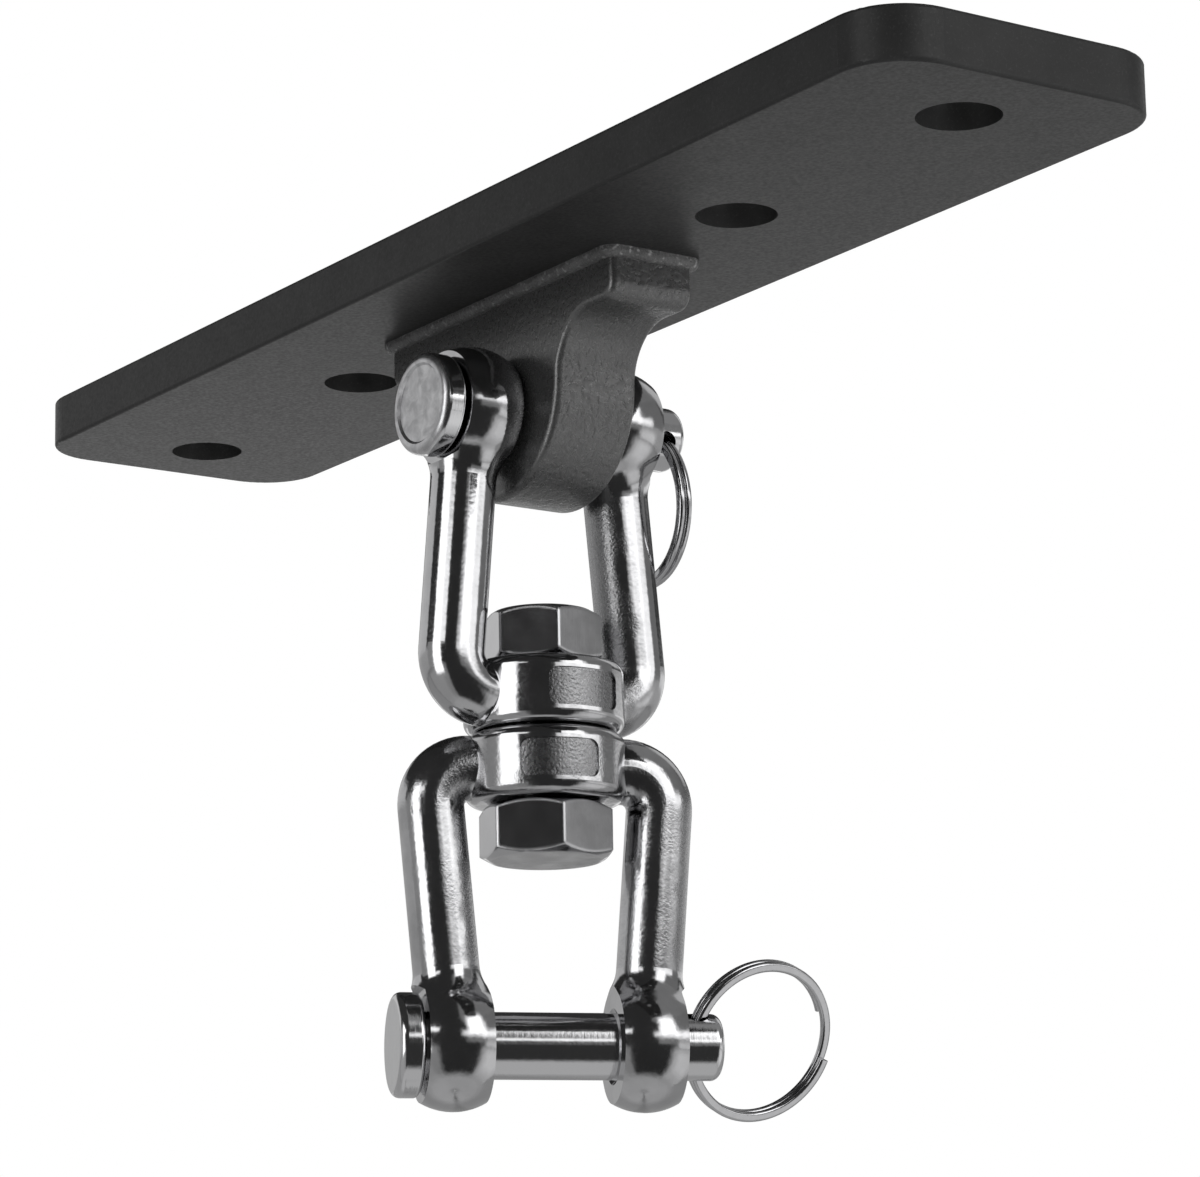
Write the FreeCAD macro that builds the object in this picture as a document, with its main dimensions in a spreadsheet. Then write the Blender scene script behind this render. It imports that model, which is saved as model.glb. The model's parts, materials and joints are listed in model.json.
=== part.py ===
import FreeCAD, Part
import math
import os

import Sketcher

# Swivelling ceiling hook: a long plate with a lug welded under it, and a jaw and jaw swivel
# that hangs from the lug on a clevis pin. Millimetres, +Z up. The origin is the centre of the
# plate's upper face, which lies against the ceiling. +X runs along the plate, +Y along the
# upper pin from its head to its split ring.

os.makedirs("parts", exist_ok=True)

document = FreeCAD.newDocument("ceiling_hook")

# Driving dimensions

DIMENSIONS = {
    # plate
    "plate_length": 240.0,
    "plate_width": 50.0,
    "plate_thickness": 8.0,
    "plate_corner": 10.0,
    "plate_edge": 0.6,
    "hole_radius": 6.0,
    "inner_hole_spacing": 105.0,
    "outer_hole_inset": 16.0,
    # lug and its weld
    "lug_thickness": 14.5,
    "lug_lip_depth": 7.5,
    "lug_lip_flat": 4.0,
    "lug_corner": 2.5,
    "lug_eye_radius": 16.0,
    "lug_eye_drop": 16.0,
    "lug_edge": 1.0,
    "pin_drop": 18.7,
    "weld_leg": 1.5,
    "weld_round": 1.1,
    # clevis pins
    "pin_radius": 5.0,
    "pin_fit": 0.1,
    "pin_head_radius": 7.8,
    "pin_head_thickness": 3.9,
    "pin_head_edge": 1.2,
    "pin_head_back_edge": 0.8,
    "pin_head_dish_radius": 6.2,
    "pin_head_dish_depth": 0.35,
    "pin_head_gap": 0.4,
    "pin_tip_edge": 1.4,
    "pin_tip_wall": 2.0,
    # split rings
    "ring_radius": 12.5,
    "ring_wire_height": 1.5,
    "ring_wire_width": 1.1,
    "ring_wire_round": 0.44,
    "ring_turn_gap": 0.08,
    "ring_turns": 1.9,
    "ring_hole_fit": 0.2,
    "upper_ring_room": 1.9,
    "lower_ring_room": 1.6,
    "upper_pin_angle": 20.0,
    "upper_ring_angle": 4.0,
    "lower_pin_angle": 64.0,
    "lower_ring_angle": 107.0,
    # jaws
    "rod_radius": 5.0,
    "neck_round": 6.0,
    "spot_face_margin": 0.3,
    "bore_mouth": 0.6,
    "shoulder_bend": 5.7,
    "eye_radius": 12.2,
    "eye_height": 10.5,
    "eye_edge": 1.8,
    "pad_width": 12.0,
    "pad_height": 5.8,
    "pad_corner": 1.4,
    "pad_depth": 0.35,
    "upper_jaw_gap": 16.8,
    "upper_ear_thickness": 9.0,
    "upper_ball_radius": 9.7,
    "upper_shoulder": 33.8,
    "upper_reach": 43.6,
    "lower_jaw_gap": 19.4,
    "lower_ear_thickness": 9.7,
    "lower_ball_radius": 9.8,
    "lower_shoulder_extra": 2.2,
    "lower_reach": 41.6,
    "lower_jaw_angle": 21.6,
    # swivel bolt
    "bolt_radius": 5.0,
    "bolt_fit": 0.08,
    "eye_gap": 0.2,
    "seat_gap": 0.15,
    "head_flats": 18.0,
    "head_height": 8.4,
    "nut_flats": 16.0,
    "nut_height": 8.0,
    "bolt_end_set_in": 0.4,
    "bolt_end_edge": 0.8,
    "bolt_angle": 41.5,
}

CHAMFER_CIRCLE = 0.94  # chamfer circle of a hex, as a share of its width across flats
CHAMFER_SLOPE = 30.0  # degrees
OVERCUT = 1.0  # how far a cutting profile runs past the material

sheet = document.addObject("Spreadsheet::Sheet", "Sizes")
for row, (alias, value) in enumerate(DIMENSIONS.items(), start=1):
    sheet.set(f"A{row}", alias)
    sheet.set(f"B{row}", str(value))
    sheet.setAlias(f"B{row}", alias)
document.recompute()


# A measure is a number together with the expression that binds it to the sheet


class Measure:
    def __init__(self, number, text):
        self.number = number
        self.text = text

    def __add__(self, other):
        other = measure(other)
        return Measure(self.number + other.number, f"({self.text} + {other.text})")

    def __sub__(self, other):
        other = measure(other)
        return Measure(self.number - other.number, f"({self.text} - {other.text})")

    def __mul__(self, other):
        other = measure(other)
        return Measure(self.number * other.number, f"({self.text} * {other.text})")

    def __truediv__(self, other):
        other = measure(other)
        return Measure(self.number / other.number, f"({self.text} / {other.text})")

    def __neg__(self):
        return self * -1


def measure(value):
    if isinstance(value, Measure):
        return value
    return Measure(float(value), f"({float(value):.10g})")


def size(alias):
    return Measure(float(sheet.get(alias)), f"Sizes.{alias}")


def root(value):
    return Measure(math.sqrt(value.number), f"sqrt({value.text})")


def slope_angle(rise, run):
    """The angle in degrees whose tangent is rise over run."""
    ratio = rise / run
    return Measure(math.degrees(math.atan(ratio.number)), f"(atan({ratio.text}) / 1 deg)")


def sine(angle):
    return Measure(math.sin(math.radians(angle.number)), f"sin({angle.text} * 1 deg)")


def cosine(angle):
    return Measure(math.cos(math.radians(angle.number)), f"cos({angle.text} * 1 deg)")


def tangent(angle):
    return Measure(math.tan(math.radians(angle.number)), f"tan({angle.text} * 1 deg)")


def bind(thing, prop, value):
    """Set a property to a measure, and tie it to the sheet."""
    value = measure(value)
    if "." not in prop:
        setattr(thing, prop, value.number)
    thing.setExpression(prop, value.text)


# Bodies, sketches and profiles


def new_body(label):
    body = document.addObject("PartDesign::Body", label)
    body.Label = label
    return body


def origin_feature(body, role):
    return next(item for item in body.Origin.OriginFeatures if item.Role == role)


def place(thing, prop, x=0, y=0, z=0, axis=None, angle=0):
    """Set a placement property, with its offsets and its angle tied to the sheet."""
    x, y, z, angle = measure(x), measure(y), measure(z), measure(angle)
    direction = axis or FreeCAD.Vector(0, 0, 1)
    rotation = FreeCAD.Rotation(direction, angle.number)
    setattr(thing, prop, FreeCAD.Placement(FreeCAD.Vector(x.number, y.number, z.number), rotation))
    for letter, value in (("x", x), ("y", y), ("z", z)):
        if value.number:
            thing.setExpression(f"{prop}.Base.{letter}", value.text)
    if angle.number and axis is not None:
        thing.setExpression(f"{prop}.Rotation.Angle", angle.text)


def new_sketch(body, name, role, **offset):
    sketch = body.newObject("Sketcher::SketchObject", f"{body.Name}_{name}")
    sketch.AttachmentSupport = (origin_feature(body, role), [""])
    sketch.MapMode = "FlatFace"
    if offset:
        place(sketch, "AttachmentOffset", **offset)
    return sketch


def fix_point(sketch, geometry, position, x, y):
    """Fix one point of a sketch at measured distances from the sketch's origin."""
    for kind, value, axis in (("DistanceX", x, -2), ("DistanceY", y, -1)):
        if value.number == 0:
            sketch.addConstraint(Sketcher.Constraint("PointOnObject", geometry, position, axis))
            continue
        constraint = Sketcher.Constraint(kind, -1, 1, geometry, position, value.number)
        index = sketch.addConstraint(constraint)
        sketch.setExpression(f"Constraints[{index}]", value.text)


def arc_through(start, end, radius, turn):
    """An arc from start to end. It bulges to the right of that way when turn is 1, left when -1."""
    middle = FreeCAD.Vector((start[0] + end[0]) / 2, (start[1] + end[1]) / 2, 0)
    chord = math.hypot(end[0] - start[0], end[1] - start[1])
    along = ((end[0] - start[0]) / chord, (end[1] - start[1]) / chord)
    right = (along[1], -along[0])
    height = radius - math.sqrt(max(radius * radius - chord * chord / 4, 0))
    top = FreeCAD.Vector(middle.x + right[0] * height * turn, middle.y + right[1] * height * turn, 0)
    first = FreeCAD.Vector(start[0], start[1], 0)
    last = FreeCAD.Vector(end[0], end[1], 0)
    return Part.Arc(first, top, last)


def outline(sketch, points, arcs=None, closed=True):
    """Draw lines and arcs through measured points. arcs gives, by the index of the point where
    it starts, an arc's radius and the side to which it bulges."""
    arcs = arcs or {}
    points = [(measure(x), measure(y)) for x, y in points]
    count = len(points) if closed else len(points) - 1
    first = sketch.GeometryCount
    for index in range(count):
        start = points[index]
        end = points[(index + 1) % len(points)]
        a = (start[0].number, start[1].number)
        b = (end[0].number, end[1].number)
        if index in arcs:
            radius, turn = arcs[index]
            sketch.addGeometry(arc_through(a, b, measure(radius).number, turn), False)
        else:
            sketch.addGeometry(
                Part.LineSegment(FreeCAD.Vector(a[0], a[1], 0), FreeCAD.Vector(b[0], b[1], 0)), False
            )
    starts = [arc_end(sketch, first + index, points[index]) for index in range(count)]
    ends = [3 - position for position in starts]
    for index in range(count):
        fix_point(sketch, first + index, starts[index], *points[index])
        if index in arcs:
            radius = measure(arcs[index][0])
            number = sketch.addConstraint(Sketcher.Constraint("Radius", first + index, radius.number))
            sketch.setExpression(f"Constraints[{number}]", radius.text)
        if closed or index + 1 < count:
            following = (index + 1) % count
            sketch.addConstraint(
                Sketcher.Constraint(
                    "Coincident", first + index, ends[index], first + following, starts[following]
                )
            )
    if not closed:
        fix_point(sketch, first + count - 1, ends[-1], *points[-1])


def arc_end(sketch, geometry, point):
    """1 if the geometry starts at the point, 2 if it ends there: an arc always runs one way."""
    start = sketch.getPoint(geometry, 1)
    end = sketch.getPoint(geometry, 2)
    to_start = math.hypot(start.x - point[0].number, start.y - point[1].number)
    to_end = math.hypot(end.x - point[0].number, end.y - point[1].number)
    return 1 if to_start <= to_end else 2


def circle(sketch, x, y, radius):
    x, y, radius = measure(x), measure(y), measure(radius)
    centre = FreeCAD.Vector(x.number, y.number, 0)
    index = sketch.addGeometry(
        Part.Circle(centre, FreeCAD.Vector(0, 0, 1), radius.number), False
    )
    fix_point(sketch, index, 3, x, y)
    number = sketch.addConstraint(Sketcher.Constraint("Radius", index, radius.number))
    sketch.setExpression(f"Constraints[{number}]", radius.text)


def rounded_rectangle(sketch, half_width, half_height, corner):
    w, h, c = measure(half_width), measure(half_height), measure(corner)
    points = [
        (w - c, -h),
        (w, -h + c),
        (w, h - c),
        (w - c, h),
        (c - w, h),
        (-w, h - c),
        (-w, c - h),
        (c - w, -h),
    ]
    outline(sketch, points, {0: (c, 1), 2: (c, 1), 4: (c, 1), 6: (c, 1)})


def add_feature(body, kind, name, sketch, **bound):
    feature = body.newObject(f"PartDesign::{kind}", f"{body.Name}_{name}")
    feature.Profile = (sketch, [""])
    sketch.Visibility = False
    for prop, value in bound.items():
        bind(feature, prop, value)
    return feature


def pad(body, name, sketch, length, centred=False, reversed_way=False):
    feature = add_feature(body, "Pad", name, sketch, Length=length)
    feature.Midplane = centred
    feature.Reversed = reversed_way
    document.recompute()
    return feature


def cut(body, name, sketch, length, centred=False, reversed_way=False):
    """A pocket, with a test that it takes material away."""
    before = body.Shape.Volume
    feature = add_feature(body, "Pocket", name, sketch, Length=length)
    feature.Midplane = centred
    feature.Reversed = reversed_way
    document.recompute()
    if not body.Shape.Volume < before:
        raise RuntimeError(f"{feature.Name} cuts nothing")
    return feature


def revolve(body, name, sketch, kind="Revolution"):
    feature = body.newObject(f"PartDesign::{kind}", f"{body.Name}_{name}")
    feature.Profile = (sketch, [""])
    feature.ReferenceAxis = (sketch, ["V_Axis"])
    feature.Angle = 360.0
    sketch.Visibility = False
    document.recompute()
    return feature


def round_edges(body, name, radius, wanted):
    """Round every edge of the body that the test picks."""
    base = body.Tip
    names = [f"Edge{i}" for i, edge in enumerate(base.Shape.Edges, start=1) if wanted(edge)]
    feature = body.newObject("PartDesign::Fillet", f"{body.Name}_{name}")
    feature.Base = (base, names)
    bind(feature, "Radius", radius)
    document.recompute()
    return feature


NEAR = 1e-3  # two coordinates this close are the same


def lies_at(edge, axis, value):
    """True if the whole edge lies in the plane where that coordinate has that value."""
    box = edge.BoundBox
    low = getattr(box, f"{axis}Min")
    high = getattr(box, f"{axis}Max")
    return abs(low - value) < NEAR and abs(high - value) < NEAR


# Ceiling plate


def make_plate():
    body = new_body("ceiling_plate")
    face = new_sketch(body, "face", "XY_Plane")
    rounded_rectangle(face, size("plate_length") / 2, size("plate_width") / 2, size("plate_corner"))
    pad(body, "slab", face, size("plate_thickness"), reversed_way=True)
    bottom = -size("plate_thickness").number
    round_edges(
        body,
        "edges",
        size("plate_edge"),
        lambda edge: lies_at(edge, "Z", 0) or lies_at(edge, "Z", bottom),
    )
    inner = size("inner_hole_spacing") / 2
    outer = size("plate_length") / 2 - size("outer_hole_inset")
    holes = new_sketch(body, "holes", "XY_Plane")
    for distance in (inner, outer):
        for side in (-1, 1):
            circle(holes, distance * side, 0, size("hole_radius"))
    cut(body, "screw_holes", holes, size("plate_thickness"))
    return body


# Lug: a flat block with rounded lips at its foot, whose waist runs into a round eye


def lug_waist():
    """The round between the lip's flat and the side of the eye."""
    return size("lug_eye_drop") - size("lug_lip_depth")


def lug_half_length():
    return size("lug_eye_radius") + lug_waist() + size("lug_lip_flat") + size("lug_corner")


def make_lug():
    body = new_body("hanger_lug")
    half = lug_half_length()
    lip = size("lug_lip_depth")
    corner = size("lug_corner")
    waist = lug_waist()
    eye = size("lug_eye_radius")
    drop = size("lug_eye_drop")
    profile = new_sketch(body, "profile", "XZ_Plane")
    points = [
        (-half, 0),
        (-half, corner - lip),
        (corner - half, -lip),
        (-eye - waist, -lip),
        (-eye, -drop),
        (0, -drop - eye),
        (eye, -drop),
        (eye + waist, -lip),
        (half - corner, -lip),
        (half, corner - lip),
        (half, 0),
    ]
    arcs = {
        1: (corner, 1),
        3: (waist, -1),
        4: (eye, 1),
        5: (eye, 1),
        6: (waist, -1),
        8: (corner, 1),
    }
    outline(profile, points, arcs)
    pad(body, "block", profile, size("lug_thickness"), centred=True)
    face = size("lug_thickness").number / 2
    round_edges(
        body,
        "edges",
        size("lug_edge"),
        lambda edge: lies_at(edge, "Y", face)
        and not lies_at(edge, "Z", 0)
        or lies_at(edge, "Y", -face)
        and not lies_at(edge, "Z", 0),
    )
    bore = new_sketch(body, "bore", "XZ_Plane")
    circle(bore, 0, -size("pin_drop"), size("pin_radius") + size("pin_fit"))
    cut(body, "pin_bore", bore, size("lug_thickness") + OVERCUT, centred=True)
    place(body, "Placement", z=-size("plate_thickness"))
    return body


# Weld bead: a rounded ring in the corner between the lug and the plate


def make_weld():
    body = new_body("weld_bead")
    half_length = lug_half_length()
    half_width = size("lug_thickness") / 2
    corner = size("lug_edge")
    leg = size("weld_leg")
    ring = new_sketch(body, "ring", "XY_Plane")
    rounded_rectangle(ring, half_length + leg, half_width + leg, corner + leg)
    rounded_rectangle(ring, half_length, half_width, corner)
    pad(body, "bead", ring, leg, reversed_way=True)
    lowest = -leg.number
    widest = (half_width + leg).number
    longest = (half_length + leg).number
    inner = half_length.number, half_width.number

    def outer_edge(edge):
        middle = edge.CenterOfMass
        outside = abs(middle.x) > inner[0] + NEAR or abs(middle.y) > inner[1] + NEAR
        inside = abs(middle.x) < longest + NEAR and abs(middle.y) < widest + NEAR
        return lies_at(edge, "Z", lowest) and outside and inside

    round_edges(body, "crown", size("weld_round"), outer_edge)
    place(body, "Placement", z=-size("plate_thickness"))
    return body


# Jaw: a round rod bent into a bow, with a ball ear at each end and a barrel eye in the middle.
# It is built with the pin along Y through the origin and the eye above.


def make_jaw(label, gap, ear_thickness, ball, shoulder, reach):
    body = new_body(label)
    rod = size("rod_radius")
    neck = size("neck_round")
    bend = size("shoulder_bend")
    ear_centre = (gap + ear_thickness) / 2
    run_out = shoulder / 2 - ear_centre
    lean = slope_angle(run_out, reach)
    tangent_length = bend * tangent((lean + 90) / 2)
    leg_length = root(run_out * run_out + reach * reach) - tangent_length

    # ball, neck and leg are turned about the leg's own line, which leans outwards
    neck_centre_radius = rod + neck
    neck_height = root((ball + neck) * (ball + neck) - neck_centre_radius * neck_centre_radius)
    share = ball / (ball + neck)
    for side, word in ((1, "right"), (-1, "left")):
        leg = new_sketch(
            body,
            f"leg_{word}",
            "YZ_Plane",
            x=ear_centre * side,
            axis=FreeCAD.Vector(0, 0, -side),
            angle=lean,
        )
        points = [
            (0, -ball),
            (neck_centre_radius * share, neck_height * share),
            (rod, neck_height),
            (rod, leg_length),
            (0, leg_length),
        ]
        outline(leg, points, {0: (ball, 1), 1: (neck, -1)})
        revolve(body, f"turned_{word}", leg)

    # bow between the legs
    bend_start_y = shoulder / 2 - tangent_length * sine(lean)
    bend_start_z = reach - tangent_length * cosine(lean)
    bend_end_y = shoulder / 2 - tangent_length
    path = new_sketch(body, "bow_path", "YZ_Plane")
    outline(
        path,
        [
            (bend_start_y, bend_start_z),
            (bend_end_y, reach),
            (-bend_end_y, reach),
            (-bend_start_y, bend_start_z),
        ],
        {0: (bend, 1), 2: (bend, 1)},
        closed=False,
    )
    section = new_sketch(
        body,
        "bow_section",
        "XY_Plane",
        y=bend_start_y,
        z=bend_start_z,
        axis=FreeCAD.Vector(-1, 0, 0),
        angle=lean,
    )
    circle(section, 0, 0, rod)
    bow = body.newObject("PartDesign::AdditivePipe", f"{body.Name}_bow")
    bow.Profile = (section, [""])
    bow.Spine = (path, [""])
    document.recompute()

    # barrel eye with soft rims
    eye = size("eye_radius")
    half_height = size("eye_height") / 2
    edge = size("eye_edge")
    barrel = new_sketch(body, "barrel", "XZ_Plane", y=reach)
    outline(
        barrel,
        [
            (0, -half_height),
            (eye - edge, -half_height),
            (eye, edge - half_height),
            (eye, half_height - edge),
            (eye - edge, half_height),
            (0, half_height),
        ],
        {1: (edge, 1), 3: (edge, 1)},
    )
    revolve(body, "eye", barrel)

    # recessed pad on the front of the eye: a pocket whose floor is filled up to a round core
    depth = size("pad_depth")
    half_pad = size("pad_width") / 2
    pad_cut = eye - root(eye * eye - half_pad * half_pad) + depth + OVERCUT
    window = new_sketch(body, "pad_window", "YZ_Plane", y=reach, z=eye)
    rounded_rectangle(window, half_pad, size("pad_height") / 2, size("pad_corner"))
    cut(body, "pad_pocket", window, pad_cut)
    core = new_sketch(body, "pad_core", "XY_Plane", z=reach - size("pad_height") / 2 - edge / 2)
    circle(core, 0, 0, eye - depth)
    pad(body, "pad_floor", core, size("pad_height") + edge)

    # ears: flat inside and outside, bored for the pin
    half_gap = gap / 2
    ear_out = half_gap + ear_thickness
    past_ear = ball - ear_thickness / 2 + OVERCUT
    spot_face = root(ball * ball - ear_thickness * ear_thickness / 4) + size("spot_face_margin")
    for side, word in ((1, "right"), (-1, "left")):
        inner = new_sketch(body, f"inner_{word}", "XZ_Plane", z=-half_gap * side)
        circle(inner, 0, 0, ball + OVERCUT)
        cut(body, f"inner_face_{word}", inner, past_ear, reversed_way=side > 0)
        outer = new_sketch(body, f"outer_{word}", "XZ_Plane", z=-ear_out * side)
        circle(outer, 0, 0, spot_face)
        cut(body, f"spot_face_{word}", outer, past_ear, reversed_way=side < 0)
    bore_radius = size("pin_radius") + size("pin_fit")
    bore = new_sketch(body, "pin_bore", "XZ_Plane")
    circle(bore, 0, 0, bore_radius)
    cut(body, "pin_bores", bore, (ear_out + OVERCUT) * 2, centred=True)
    mouth = size("bore_mouth")
    for side, word in ((1, "right"), (-1, "left")):
        wedge = new_sketch(body, f"mouth_{word}_wedge", "XY_Plane")
        points = [
            (bore_radius, half_gap * side),
            (bore_radius + mouth, half_gap * side),
            (bore_radius, (half_gap + mouth) * side),
        ]
        outline(wedge, points)
        revolve(body, f"mouth_{word}", wedge, kind="Groove")
    bolt = new_sketch(body, "bolt_bore", "XY_Plane", z=reach)
    circle(bolt, 0, 0, size("bolt_radius") + size("bolt_fit"))
    cut(body, "bolt_bore_cut", bolt, size("eye_height") + OVERCUT, centred=True)
    return body


# Clevis pin along Y, with its head on the -Y side and a cross hole along X near its end


def ring_section_half_width():
    return size("ring_wire_width") + size("ring_turn_gap") / 2


def ring_bow():
    """How far the ring's wire bends aside over the half width of the pin."""
    middle = size("ring_radius") - size("ring_wire_height") / 2
    pin = size("pin_radius")
    return middle - root(middle * middle - pin * pin)


def cross_hole_radius():
    tall = (ring_bow() + size("ring_wire_height")) / 2
    wide = ring_section_half_width()
    corner = size("ring_wire_round")
    reach = root((tall - corner) * (tall - corner) + (wide - corner) * (wide - corner))
    return reach + corner + size("ring_hole_fit")


def cross_hole_place(gap, ear_thickness, room):
    return gap / 2 + ear_thickness + room + ring_section_half_width()


def make_pin(label, gap, ear_thickness, room):
    body = new_body(label)
    pin = size("pin_radius")
    head = size("pin_head_radius")
    thick = size("pin_head_thickness")
    edge = size("pin_head_edge")
    back_edge = size("pin_head_back_edge")
    tip_edge = size("pin_tip_edge")
    under_head = gap / 2 + ear_thickness + size("pin_head_gap")
    top = under_head + thick
    hole = cross_hole_place(gap, ear_thickness, room)
    tip = hole + cross_hole_radius() + size("pin_tip_wall")
    profile = new_sketch(body, "profile", "XY_Plane")
    points = [
        (0, -top),
        (head - edge, -top),
        (head, edge - top),
        (head, -under_head - back_edge),
        (head - back_edge, -under_head),
        (pin, -under_head),
        (pin, tip - tip_edge),
        (pin - tip_edge, tip),
        (0, tip),
    ]
    outline(profile, points, {1: (edge, 1), 3: (back_edge, 1), 6: (tip_edge, 1)})
    revolve(body, "turned", profile)
    cross = new_sketch(body, "cross", "YZ_Plane")
    circle(cross, hole, 0, cross_hole_radius())
    cut(body, "cross_hole", cross, pin * 2 + OVERCUT, centred=True)
    return body


def add_head_dish(body, gap, ear_thickness):
    """A shallow dish with a sloping rim in the face of a pin's head."""
    dish = size("pin_head_dish_radius")
    depth = size("pin_head_dish_depth")
    under_head = gap / 2 + ear_thickness + size("pin_head_gap")
    face = -under_head - size("pin_head_thickness")
    profile = new_sketch(body, "dish_profile", "XY_Plane")
    points = [
        (0, face - OVERCUT),
        (dish, face - OVERCUT),
        (dish, face),
        (dish - depth, face + depth),
        (0, face + depth),
    ]
    outline(profile, points)
    revolve(body, "dish", profile, kind="Groove")


# Split ring: flat wire wound in nearly two turns about Z


def make_ring(label):
    body = new_body(label)
    tall = size("ring_wire_height") / 2
    wide = size("ring_wire_width") / 2
    middle = size("ring_radius") - tall
    corner = size("ring_wire_round")
    pitch = size("ring_wire_width") + size("ring_turn_gap")
    turns = size("ring_turns")
    start = pitch * turns / 2
    section = new_sketch(body, "section", "XZ_Plane")
    points = [
        (middle + tall - corner, -start - wide),
        (middle + tall, corner - start - wide),
        (middle + tall, wide - corner - start),
        (middle + tall - corner, wide - start),
        (middle - tall + corner, wide - start),
        (middle - tall, wide - corner - start),
        (middle - tall, corner - start - wide),
        (middle - tall + corner, -start - wide),
    ]
    outline(section, points, {0: (corner, 1), 2: (corner, 1), 4: (corner, 1), 6: (corner, 1)})
    coil = body.newObject("PartDesign::AdditiveHelix", f"{body.Name}_coil")
    coil.Profile = (section, [""])
    coil.ReferenceAxis = (section, ["V_Axis"])
    coil.Mode = 1
    bind(coil, "Pitch", pitch)
    bind(coil, "Turns", turns)
    document.recompute()
    return body


# Hexes: six flats with both ends chamfered


def add_hex(body, name, flats, bottom, height):
    corner = flats / root(measure(3))
    sketch = new_sketch(body, f"{name}_flats", "XY_Plane", z=bottom)
    points = [
        (corner, 0),
        (corner / 2, flats / 2),
        (-corner / 2, flats / 2),
        (-corner, 0),
        (-corner / 2, -flats / 2),
        (corner / 2, -flats / 2),
    ]
    outline(sketch, points)
    pad(body, name, sketch, height)
    inside = flats / 2 * CHAMFER_CIRCLE
    outside = corner + OVERCUT
    drop = (outside - inside) * math.tan(math.radians(CHAMFER_SLOPE))
    for level, way, word in ((bottom, 1, "lower"), (bottom + height, -1, "upper")):
        wedge = new_sketch(body, f"{name}_{word}_wedge", "XZ_Plane")
        outline(wedge, [(inside, level), (outside, level), (outside, level + drop * way)])
        revolve(body, f"{name}_{word}_chamfer", wedge, kind="Groove")


def make_bolt():
    """The bolt stands on Z with the top of its head at zero."""
    body = new_body("swivel_bolt")
    radius = size("bolt_radius")
    edge = size("bolt_end_edge")
    end = stack_height() + size("nut_height") - size("bolt_end_set_in")
    add_hex(body, "head", size("head_flats"), -size("head_height"), size("head_height"))
    shank = new_sketch(body, "shank", "XZ_Plane")
    points = [(0, 0), (radius, 0), (radius, end - edge), (radius - edge, end), (0, end)]
    outline(shank, points)
    revolve(body, "turned_shank", shank)
    return body


def stack_height():
    """From the top of the bolt's head to the underside of the nut."""
    return size("eye_height") * 2 + size("eye_gap") + size("seat_gap") * 2


def make_nut():
    body = new_body("swivel_nut")
    add_hex(body, "nut", size("nut_flats"), measure(0), size("nut_height"))
    bore = new_sketch(body, "thread", "XY_Plane")
    circle(bore, 0, 0, size("bolt_radius"))
    cut(body, "threaded_hole", bore, size("nut_height") * 2 + OVERCUT, centred=True)
    return body


# Assembly

upper_pin_height = -size("plate_thickness") - size("pin_drop")
upper_eye_height = upper_pin_height - size("upper_reach")
lower_eye_height = upper_eye_height - size("eye_height") - size("eye_gap")
lower_pin_height = lower_eye_height - size("lower_reach")
head_top_height = lower_eye_height - size("eye_height") / 2 - size("seat_gap")

plate = make_plate()
lug = make_lug()
weld = make_weld()

upper_jaw = make_jaw(
    "upper_jaw",
    size("upper_jaw_gap"),
    size("upper_ear_thickness"),
    size("upper_ball_radius"),
    size("upper_shoulder"),
    size("upper_reach"),
)
place(upper_jaw, "Placement", z=upper_pin_height, axis=FreeCAD.Vector(1, 0, 0), angle=180)

lower_jaw = make_jaw(
    "lower_jaw",
    size("lower_jaw_gap"),
    size("lower_ear_thickness"),
    size("lower_ball_radius"),
    size("upper_shoulder") + size("lower_shoulder_extra"),
    size("lower_reach"),
)
place(
    lower_jaw,
    "Placement",
    z=lower_pin_height,
    axis=FreeCAD.Vector(0, 0, -1),
    angle=size("lower_jaw_angle"),
)

upper_pin = make_pin(
    "upper_pin",
    size("upper_jaw_gap"),
    size("upper_ear_thickness"),
    size("upper_ring_room"),
)
add_head_dish(upper_pin, size("upper_jaw_gap"), size("upper_ear_thickness"))
place(
    upper_pin,
    "Placement",
    z=upper_pin_height,
    axis=FreeCAD.Vector(0, 1, 0),
    angle=size("upper_pin_angle"),
)

lower_pin = make_pin(
    "lower_pin",
    size("lower_jaw_gap"),
    size("lower_ear_thickness"),
    size("lower_ring_room"),
)

upper_ring = make_ring("upper_split_ring")
lower_ring = make_ring("lower_split_ring")

bolt = make_bolt()
place(
    bolt,
    "Placement",
    z=head_top_height,
    axis=FreeCAD.Vector(0, 0, 1),
    angle=size("bolt_angle"),
)
nut = make_nut()
place(
    nut,
    "Placement",
    z=head_top_height + stack_height(),
    axis=FreeCAD.Vector(0, 0, 1),
    angle=size("bolt_angle"),
)

# The lower pin is turned about its own line, and each ring hangs or stands out from its pin.
# These placements join several turns, so they are worked out here from the sheet's values.

X_AXIS = FreeCAD.Vector(1, 0, 0)
Y_AXIS = FreeCAD.Vector(0, 1, 0)
Z_AXIS = FreeCAD.Vector(0, 0, 1)


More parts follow.
